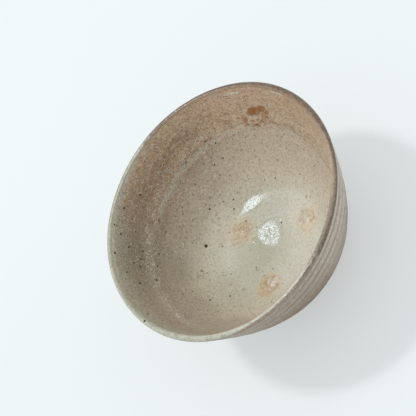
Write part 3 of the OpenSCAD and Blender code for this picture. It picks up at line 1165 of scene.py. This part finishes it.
    def iron(self):
        material, w = self.start("Iron speck")
        w.tone = w.blend("speck", "rust", w.span(w.field(0.6, 2.0), 0.35, 0.7, 0.0, 0.3))
        return self.dressed(material, w, w.span(w.field(0.4, 2.0), 0.3, 0.7, 0.3, 0.5))


@functools.cache
def finishes():
    scene = bpy.context.scene
    return Finishes(scene.bowl_sizes, scene.bowl_colours)


# Pieces

# Fine lines left by a finger or a turning tool: spacing and depth
UNDER_LINES = (1.9 * MM, 0.12 * MM)
BARE_LINES = (1.3 * MM, 0.06 * MM)
FOOT_LINES = (1.1 * MM, 0.07 * MM)
WALL_LINES = (4.2 * MM, 0.018 * MM)
CROSS_LINES = (2.7 * MM, 0.0108 * MM)

# Closeness at which a point counts as lying on a surface
TOUCH = 0.01 * MM

# Clay behind the glaze: where the bare clay ends and the hidden wall starts, back along the outside curve
# from the glaze line, and how far the clay sinks under the pool, by the pool's own dip
BARE_LAP = 0.08
HIDDEN_LAP = 0.1
CLAY_SINK = 1.5

# Length of a facet along the outline of the foot
FOOT_FACET = 0.35 * MM

# Coat inside: half width of the groove round the well, and how far it sinks under the pool
GROOVE_HALF = 4.3 * MM
COAT_SINK = 0.25 * MM

# Coat outside: height over which the finger ridges fade out, half width and rise of the roll at the lower
# edge, height over which that edge wanders, and how far it slides in and down
RIDGE_FADE = 30 * MM
EDGE_ROLL = (1.2 * MM, 0.2 * MM)
EDGE_REACH = 7 * MM
EDGE_SLIDE = (0.9, 0.45)

# Waves round the bowl: count, start in radians and height
FOOT_WAVE = (4, 1.0, 0.05 * MM)
RIDGE_WANDER = ((2, 0.5, 0.8 * MM), (3, -1.0, 0.5 * MM))
GLAZE_EDGE = ((3, 0.7, 1.1 * MM), (7, 0.0, 0.66 * MM), (11, 2.0, 0.55 * MM))

# Pooled glaze: rise of its top over the coat, depth of its bed in it, its swirl and the brow at its edge
POOL_RISE = 0.03 * MM
POOL_BED = 0.4 * MM
POOL_SWIRL = (2.4 * MM, 0.03 * MM)
POOL_BROW = 0.06 * MM
POOL_BROW_BEARING = math.radians(95)

# Wad stubs: where the ball that each starts as is cut off, and the depth of root, dome and broken rim
STUB_CUT = -0.6
STUB_ROOT = 0.83 * MM
STUB_DOME = 0.35 * MM
STUB_RIM = 0.12 * MM

# Grain of a wad stub, coarse and fine: size and rise
STUB_GRAINS = ((2.2 * MM, 0.25 * MM), (0.8 * MM, 0.12 * MM))

# Iron specks: growth over the breadth that the photograph shows, flatness, and the largest turn in radians
SPECK_GROWTH = 1.35
SPECK_FLATNESS = 0.22
SPECK_TURN = 6.28

# Small specks set by chance: seed, number inside and outside, and breadths in millimetres
SPECK_SEED = 7
INSIDE_SPECKS, INSIDE_BREADTHS = 90, (0.25, 0.5)
OUTSIDE_SPECKS, OUTSIDE_BREADTHS = 170, (0.25, 0.7)

# Lamps: place, and length of their sides
WINDOW = ((-0.24, 0.7, 1.85), 0.22)
CARD = ((1.2, -0.9, 0.3), 0.9)


class BOWL_OT_clay_body(bpy.types.Operator):
    """Turns the thrown body: the hidden wall, the bare band over the foot and the underside"""

    bl_idname = "bowl.clay_body"
    bl_label = "Clay Body"

    def execute(self, context):
        s = context.scene.bowl_sizes
        section = Section(s)
        glaze_end = section.outer_place(s.foot_height + s.bare_height)
        under = [Vector((r, s.foot_height)) for r in steps(0, s.foot_radius, count=60)]
        bare = section.outer_run(1, glaze_end - BARE_LAP, above=0, count=40)
        hidden = section.outer_run(glaze_end - HIDDEN_LAP, 0, above=-s.glaze, count=40)
        lip = section.lip_run(above=-0.5 * s.glaze, count=9)
        inside = section.inner_run(above=-s.glaze, count=30)
        floor = section.dish_run(section.well_turn, above=-s.glaze, count=16)
        outline = [*under, *bare[1:], *hidden, *lip, *inside, *floor[1:]]
        piece = turned("thrown_body", outline, s.turn_steps // 2)
        p, b, r = measured(piece)
        underside = p[:, 2] < s.foot_height + TOUCH
        swirl = spiral(r, b, *UNDER_LINES) * smooth(s.foot_radius - r, 1 * MM, 4 * MM)
        p[underside, 2] += swirl[underside]
        well = (p[:, 2] > s.foot_height + 2 * MM) & (r < s.pool_radius)
        p[well, 2] -= CLAY_SINK * s.pool_dip
        bare_band = (p[:, 2] > s.foot_height + 0.2 * MM) & (p[:, 2] < s.foot_height + s.bare_height)
        p[bare_band, 2] += spiral(r, b, *BARE_LINES)[bare_band]
        put_points(piece, p)
        thrown(piece, s)
        finish_piece(piece, finishes().bare_clay(), "clay", "clay_body")
        return {"FINISHED"}


class BOWL_OT_foot_ring(bpy.types.Operator):
    """Turns the foot ring, with turning marks on its sides"""

    bl_idname = "bowl.foot_ring"
    bl_label = "Foot Ring"

    def execute(self, context):
        s = context.scene.bowl_sizes
        outside = s.foot_radius - s.foot_draw
        inside = outside - s.foot_wall
        corners = [
            Vector((s.foot_radius, s.foot_height)),
            Vector((inside - s.foot_draw, s.foot_height)),
            Vector((inside, s.foot_chamfer)),
            Vector((inside + s.foot_chamfer, 0)),
            Vector((outside - s.foot_chamfer, 0)),
            Vector((outside, s.foot_chamfer)),
        ]
        outline = []
        for here, there in zip(corners, [*corners[1:], corners[0]]):
            count = max(3, round((there - here).length / FOOT_FACET))
            outline += [here.lerp(there, i / count) for i in range(count)]
        piece = turned("turned_foot", outline, s.turn_steps // 2)
        p, b, _ = measured(piece)
        side = (p[:, 2] > 0.5 * s.foot_chamfer) & (p[:, 2] < s.foot_height - 0.3 * MM)
        push_out(p, b, side * (spiral(p[:, 2], b, *FOOT_LINES) + waves(b, FOOT_WAVE)))
        put_points(piece, p)
        finish_piece(piece, bpy.data.materials["Bare clay"], "clay", "foot_ring")
        return {"FINISHED"}


class BOWL_OT_inner_glaze(bpy.types.Operator):
    """Turns the glaze inside, with its ridge, throwing lines and the step round the well"""

    bl_idname = "bowl.inner_glaze"
    bl_label = "Inner Glaze"

    def execute(self, context):
        s = context.scene.bowl_sizes
        section = Section(s)
        wall = section.inner_run(above=s.glaze, count=130)
        floor = section.dish_run(section.well_turn, above=s.glaze, count=30)
        back = section.inner_run(above=0, count=20)
        back += section.dish_run(section.well_turn, above=0, count=5)[1:]
        piece = turned("inside_coat", [*wall, *floor[1:], *reversed(back)], s.turn_steps)
        p, b, r = measured(piece)
        n = column_of(piece, "normal")
        depth = s.height - p[:, 2]
        ridge_depth = s.inner_ridge_depth + waves(b, *RIDGE_WANDER)
        rise = s.inner_ridge_rise * swelling(depth, ridge_depth, s.inner_ridge_width)
        lines = spiral(depth, b, *WALL_LINES) + spiral(depth, -2 * b, *CROSS_LINES)
        rise += lines * smooth(depth, 2 * MM, 9 * MM) * smooth(r, 20 * MM, 34 * MM)
        rise -= s.well_groove * swelling(r, s.well_radius, GROOVE_HALF)
        seen = looking(n, b, out=-1, up=1)
        p += n * (seen * rise)[:, None]
        pressed_flat(p, seen)
        p[:, 2] -= section.fall(r, b) + COAT_SINK * smooth(s.pool_radius - r, 0.5 * MM, 4 * MM)
        put_points(piece, p)
        thrown(piece, s)
        finish_piece(piece, finishes().inner_glaze(), "inner_glaze", "inner_glaze")
        return {"FINISHED"}


class BOWL_OT_outer_glaze(bpy.types.Operator):
    """Turns the glaze outside, with spiral finger ridges and a wandering lower edge"""

    bl_idname = "bowl.outer_glaze"
    bl_label = "Outer Glaze"

    def execute(self, context):
        s = context.scene.bowl_sizes
        section = Section(s)
        low = s.foot_height + s.bare_height
        end = section.outer_place(low)
        top = section.outer_run(0, end, above=s.glaze, count=150)
        back = section.outer_run(0, end, above=0, count=25)
        piece = turned("outside_coat", [*top, *reversed(back)], s.turn_steps)
        p, b, _ = measured(piece)
        n = column_of(piece, "normal")
        depth = s.height - p[:, 2]
        start = s.ridge_start + s.ridge_pitch * RIDGE_FRONT / 360
        phase = (depth - start) / s.ridge_pitch - b / math.tau
        fade = smooth(depth, 1 * MM, s.ridge_start) * smooth(p[:, 2], low, low + RIDGE_FADE)
        hollow = -s.ridge_depth * (0.8 + 0.2 * np.cos(2 * b + 3 * depth / s.ridge_pitch)) * fade
        rise = hollow * (1 - np.cos(math.tau * phase)) / 2
        roll_half, roll_rise = EDGE_ROLL
        rise += roll_rise * swelling(p[:, 2], low, roll_half)
        seen = looking(n, b, out=1, up=-0.6)
        p += n * (seen * rise)[:, None]
        slide = waves(b, *GLAZE_EDGE) * smooth(low + EDGE_REACH - p[:, 2], 0, EDGE_REACH)
        slide_in, slide_down = EDGE_SLIDE
        p[:, 2] -= slide_down * slide
        push_out(p, b, -slide_in * slide)
        put_points(piece, p)
        thrown(piece, s)
        finish_piece(piece, finishes().outer_glaze(), "outer_glaze", "outer_glaze")
        return {"FINISHED"}


class BOWL_OT_lip_glaze(bpy.types.Operator):
    """Turns the coat over the rounded lip"""

    bl_idname = "bowl.lip_glaze"
    bl_label = "Lip Glaze"

    def execute(self, context):
        s = context.scene.bowl_sizes
        section = Section(s)
        outline = [*section.lip_run(above=s.glaze, count=25), *reversed(section.lip_run(above=0, count=9))]
        piece = turned("lip_coat", outline, s.turn_steps)
        thrown(piece, s)
        finish_piece(piece, finishes().lip_glaze(), "lip_glaze", "lip_glaze")
        return {"FINISHED"}


class BOWL_OT_glaze_pool(bpy.types.Operator):
    """Turns the pooled glaze and draws the potter's last swirl in it"""

    bl_idname = "bowl.glaze_pool"
    bl_label = "Glaze Pool"

    def execute(self, context):
        s = context.scene.bowl_sizes
        section = Section(s)
        edge = math.asin(s.pool_radius / (section.dish_radius - s.glaze))
        top = [section.dish(turn, s.glaze + POOL_RISE) for turn in steps(0, edge, count=97)[:-1]]
        bed = section.dish_run(edge, above=s.glaze - POOL_BED, count=12)
        piece = turned("floor_pool", [*top, section.dish(edge, s.glaze), *bed], s.turn_steps // 2)
        p, b, r = measured(piece)
        seen = p[:, 2] > np.interp(r, [v.x for v in top], [v.y for v in top]) - TOUCH
        p[:, 2] -= section.fall(r, b)
        spacing, depth = POOL_SWIRL
        swirl = np.cos(math.tau * r / spacing - b + 0.6 * np.sin(3 * b)) * smooth(r, 0.4 * MM, 1.6 * MM)
        swirl *= smooth(s.pool_radius - r, 3 * MM, 9 * MM) * (0.7 + 0.3 * np.sin(5 * b + r / MM))
        brow = swelling(r, 0.9 * s.pool_radius, 0.5 * MM) * (0.6 + 0.4 * np.cos(b - POOL_BROW_BEARING))
        p[:, 2] += seen * (depth * swirl + POOL_BROW * brow)
        put_points(piece, p)
        finish_piece(piece, finishes().glaze_pool(), "glaze_pool", "glaze_pool")
        return {"FINISHED"}


class BOWL_OT_wad_scars(bpy.types.Operator):
    """Breaks three stubs of wad clay off in the well"""

    bl_idname = "bowl.wad_scars"
    bl_label = "Wad Scars"

    def execute(self, context):
        s = context.scene.bowl_sizes
        tilt = math.asin(s.scar_ring / Section(s).dish_radius)
        for i, (spot, degrees) in enumerate(zip(scar_places(s), SCAR_BEARINGS)):
            turn = Quaternion((0, 0, 1), math.radians(degrees)) @ Quaternion((0, 1, 0), -tilt)
            piece = self.stub(f"wad_stub_{i + 1}", i, s.scar_radius)
            put_points(piece, column_of(piece) @ np.array(turn.to_matrix()).T + np.array(spot))
            for size, rise in STUB_GRAINS:
                roughened(piece, size, rise)
            brown, ochre, reach, pale = WAD_TONES[i]
            lumps = []
            for along, across, long, wide, _ in LUMPS[i]:
                lumps.append((spot + turn @ Vector((along * MM, across * MM, 0)), reach * (long + wide) / 2))
            material = finishes().wad_clay(f"Wad clay {i + 1}", spot, lumps, brown, ochre, pale)
            finish_piece(piece, material, "wad_clay", f"wad_scar_{i + 1}")
        return {"FINISHED"}

    def stub(self, name, i, radius):
        """A low lobed dome with a broken rim and its own lumps, at the origin."""
        bpy.ops.object.select_all(action="DESELECT")
        bpy.ops.mesh.primitive_ico_sphere_add(
            subdivisions=6, radius=1, enter_editmode=True, location=(0, 0, 0))
        piece = newest(name)
        bpy.ops.mesh.bisect(plane_co=(0, 0, STUB_CUT), plane_no=(0, 0, 1), clear_inner=True, use_fill=True)
        bpy.ops.object.mode_set(mode="OBJECT")
        p, b, r = measured(piece)
        lobes = 1 + waves(b, (2, i, 0.08), (3, 2 * i, 0.06), (7, 0, 0.04))
        p[:, :2] *= (radius * lobes)[:, None]
        rim = STUB_RIM * swelling(r, 0.8, 0.09) * (0.6 + 0.4 * np.cos(2 * b + 1.3 * i))
        dome = STUB_DOME * (0.5 + 0.5 * np.cos(math.pi * np.minimum(r, 1))) + rim
        p[:, 2] = np.where(p[:, 2] > 0, dome, STUB_ROOT * p[:, 2])
        for along, across, long, wide, rise in LUMPS[i]:
            lump = swelling(p[:, 0] / MM, along, long) * swelling(p[:, 1] / MM, across, wide)
            p[:, 2] += rise * MM * lump * (p[:, 2] > -0.02 * MM)
        put_points(piece, p)
        return piece


class BOWL_OT_iron_specks(bpy.types.Operator):
    """Sets iron specks in the glaze: the large ones where the photograph shows them, small ones by chance"""

    bl_idname = "bowl.iron_specks"
    bl_label = "Iron Specks"

    def execute(self, context):
        names = ("inside_coat", "outside_coat", "lip_coat", "floor_pool")
        inner, outer, lip, pool = (bpy.data.objects[name] for name in names)
        rng = random.Random(SPECK_SEED)
        spots = self.photo_spots(context.scene.bowl_stage, (inner, lip, pool))
        spots += self.chance_spots(rng, context.scene.bowl_sizes, inner, outer)
        specks = []
        for place, normal, breadth in spots:
            bpy.ops.object.select_all(action="DESELECT")
            bpy.ops.mesh.primitive_ico_sphere_add(subdivisions=2, radius=0.5, location=(0, 0, 0))
            speck = bpy.context.object
            turn = normal.to_track_quat("Z", "Y") @ Quaternion((0, 0, 1), rng.uniform(0, SPECK_TURN))
            stretch = Matrix.Diagonal((breadth, breadth * rng.uniform(0.6, 1), SPECK_FLATNESS * breadth, 1))
            speck.data.transform(Matrix.Translation(place) @ turn.to_matrix().to_4x4() @ stretch)
            specks.append(speck)
        bpy.ops.object.select_all(action="DESELECT")
        for speck in specks:
            speck.select_set(True)
        bpy.context.view_layer.objects.active = specks[0]
        bpy.ops.object.join()
        finish_piece(newest("iron_specks"), finishes().iron(), "inner_glaze")
        return {"FINISHED"}

    def photo_spots(self, stage, carriers):
        """Place, normal and breadth of each speck in the photograph, on the nearest surface at its pixel."""
        spots = []
        eye = Vector(stage.view_from)
        for column, row, breadth in SPECK_PIXELS:
            sight = photo_ray(stage, column, row)
            hits = [piece.ray_cast(eye, sight) for piece in carriers]
            hits = [(place, normal) for found, place, normal, _ in hits if found]
            place, normal = min(hits, key=lambda hit: (hit[0] - eye).length)
            spots.append((place, normal, SPECK_GROWTH * breadth * MM))
        return spots

    def chance_spots(self, rng, s, inner, outer):
        """Place, normal and breadth of the small specks, thrown out from the mouth and in from all round."""
        spots = []
        middle = Vector((0, 0, s.height))
        for _ in range(INSIDE_SPECKS):
            b, drop = rng.uniform(0, math.tau), rng.uniform(-1.25, -0.03)
            way = Vector((math.cos(b), math.sin(b), drop)).normalized()
            found, place, normal, _ = inner.ray_cast(middle, way)
            if found:
                spots.append((place, normal, rng.uniform(*INSIDE_BREADTHS) * MM))
        for _ in range(OUTSIDE_SPECKS):
            b, height = rng.uniform(0, math.tau), rng.uniform(0.22, 0.95) * s.height
            far = Vector((2 * s.rim_radius * math.cos(b), 2 * s.rim_radius * math.sin(b), height))
            found, place, normal, _ = outer.ray_cast(far, (Vector((0, 0, height)) - far).normalized())
            if found:
                spots.append((place, normal, rng.uniform(*OUTSIDE_BREADTHS) * MM))
        return spots


class BOWL_OT_stage(bpy.types.Operator):
    """Lays the pale table and sets the lights and the camera"""

    bl_idname = "bowl.stage"
    bl_label = "Stage"

    def execute(self, context):
        scene = context.scene
        colours, stage = scene.bowl_colours, scene.bowl_stage
        self.table(colours.floor, stage.shadow_lift)
        scene.world = self.surroundings(colours.floor, stage.ambient)
        self.lamp("window", *WINDOW, stage.window_power)
        self.lamp("card", *CARD, stage.fill_power)
        scene.camera = self.camera(stage)
        scene.view_settings.view_transform = "Standard"
        return {"FINISHED"}

    def table(self, paint, lift):
        """A pale table whose shadow is lightened for the camera alone."""
        bpy.ops.object.select_all(action="DESELECT")
        bpy.ops.mesh.primitive_plane_add(size=8, location=(0, 0, 0))
        table = newest("table")
        material = bpy.data.materials.new("Pale table")
        material.use_nodes = True
        w = Tree(material.node_tree)
        shader = w.tree.nodes["Principled BSDF"]
        w.fill(shader.inputs, Base_Color=paint, Roughness=0.9, Specular_IOR_Level=0.1)
        glow = w.node("ShaderNodeEmission")
        w.fill(glow.inputs, Color=paint)
        seen = w.node("ShaderNodeLightPath").outputs["Is Camera Ray"]
        blend = w.node("ShaderNodeMixShader")
        for socket, value in zip(blend.inputs, (w.times(seen, lift), shader.outputs[0], glow.outputs[0])):
            w.feed(socket, value)
        w.fill(w.tree.nodes["Material Output"].inputs, Surface=blend.outputs[0])
        table.data.materials.append(material)

    def surroundings(self, paint, ambient):
        """Even light from all round, which the camera sees at full strength."""
        world = bpy.data.worlds.new("Studio")
        world.use_nodes = True
        w = Tree(world.node_tree)
        seen = w.node("ShaderNodeLightPath").outputs["Is Camera Ray"]
        w.fill(w.tree.nodes["Background"].inputs, Color=paint, Strength=w.math("MAXIMUM", seen, ambient))
        return world

    def lamp(self, name, place, side, power):
        bpy.ops.object.light_add(type="AREA", location=place)
        lamp = newest(name)
        lamp.data.shape = "SQUARE"
        lamp.data.size = side
        lamp.data.energy = power
        lamp.rotation_mode = "QUATERNION"
        lamp.rotation_quaternion = (-Vector(place)).to_track_quat("-Z", "Y")

    def camera(self, stage):
        bpy.ops.object.camera_add(location=stage.view_from)
        camera = newest("photo_camera")
        camera.rotation_mode = "QUATERNION"
        camera.rotation_quaternion = view_turn(stage)
        camera.data.lens = stage.view_lens
        camera.data.sensor_width = SENSOR_WIDTH
        camera.data.clip_start = 0.01
        return camera


class BOWL_PT_panel(bpy.types.Panel):
    """Lists the bowl's pieces in the sidebar"""

    bl_idname = "BOWL_PT_panel"
    bl_label = "Tea Bowl"
    bl_space_type = "VIEW_3D"
    bl_region_type = "UI"
    bl_category = "Tea Bowl"

    def draw(self, context):
        for operator in OPERATORS:
            self.layout.operator(operator.bl_idname)
        for name, group in GROUPS.items():
            box = self.layout.box()
            for each in group.__annotations__:
                box.prop(getattr(context.scene, name), each)


GROUPS = {"bowl_sizes": BowlSizes, "bowl_colours": BowlColours, "bowl_stage": BowlStage}
OPERATORS = (
    BOWL_OT_clay_body, BOWL_OT_foot_ring, BOWL_OT_inner_glaze, BOWL_OT_outer_glaze, BOWL_OT_lip_glaze,
    BOWL_OT_glaze_pool, BOWL_OT_wad_scars, BOWL_OT_iron_specks, BOWL_OT_stage,
)
CLASSES = (*GROUPS.values(), *OPERATORS, BOWL_PT_panel)


def register():
    for each in CLASSES:
        bpy.utils.register_class(each)
    for name, group in GROUPS.items():
        setattr(bpy.types.Scene, name, PointerProperty(type=group))


def unregister():
    for name in GROUPS:
        delattr(bpy.types.Scene, name)
    for each in reversed(CLASSES):
        bpy.utils.unregister_class(each)


def main():
    register()
    bpy.ops.bowl.clay_body()
    bpy.ops.bowl.foot_ring()
    bpy.ops.bowl.inner_glaze()
    bpy.ops.bowl.outer_glaze()
    bpy.ops.bowl.lip_glaze()
    bpy.ops.bowl.glaze_pool()
    bpy.ops.bowl.wad_scars()
    bpy.ops.bowl.iron_specks()
    bpy.ops.bowl.stage()


if __name__ == "__main__":
    main()
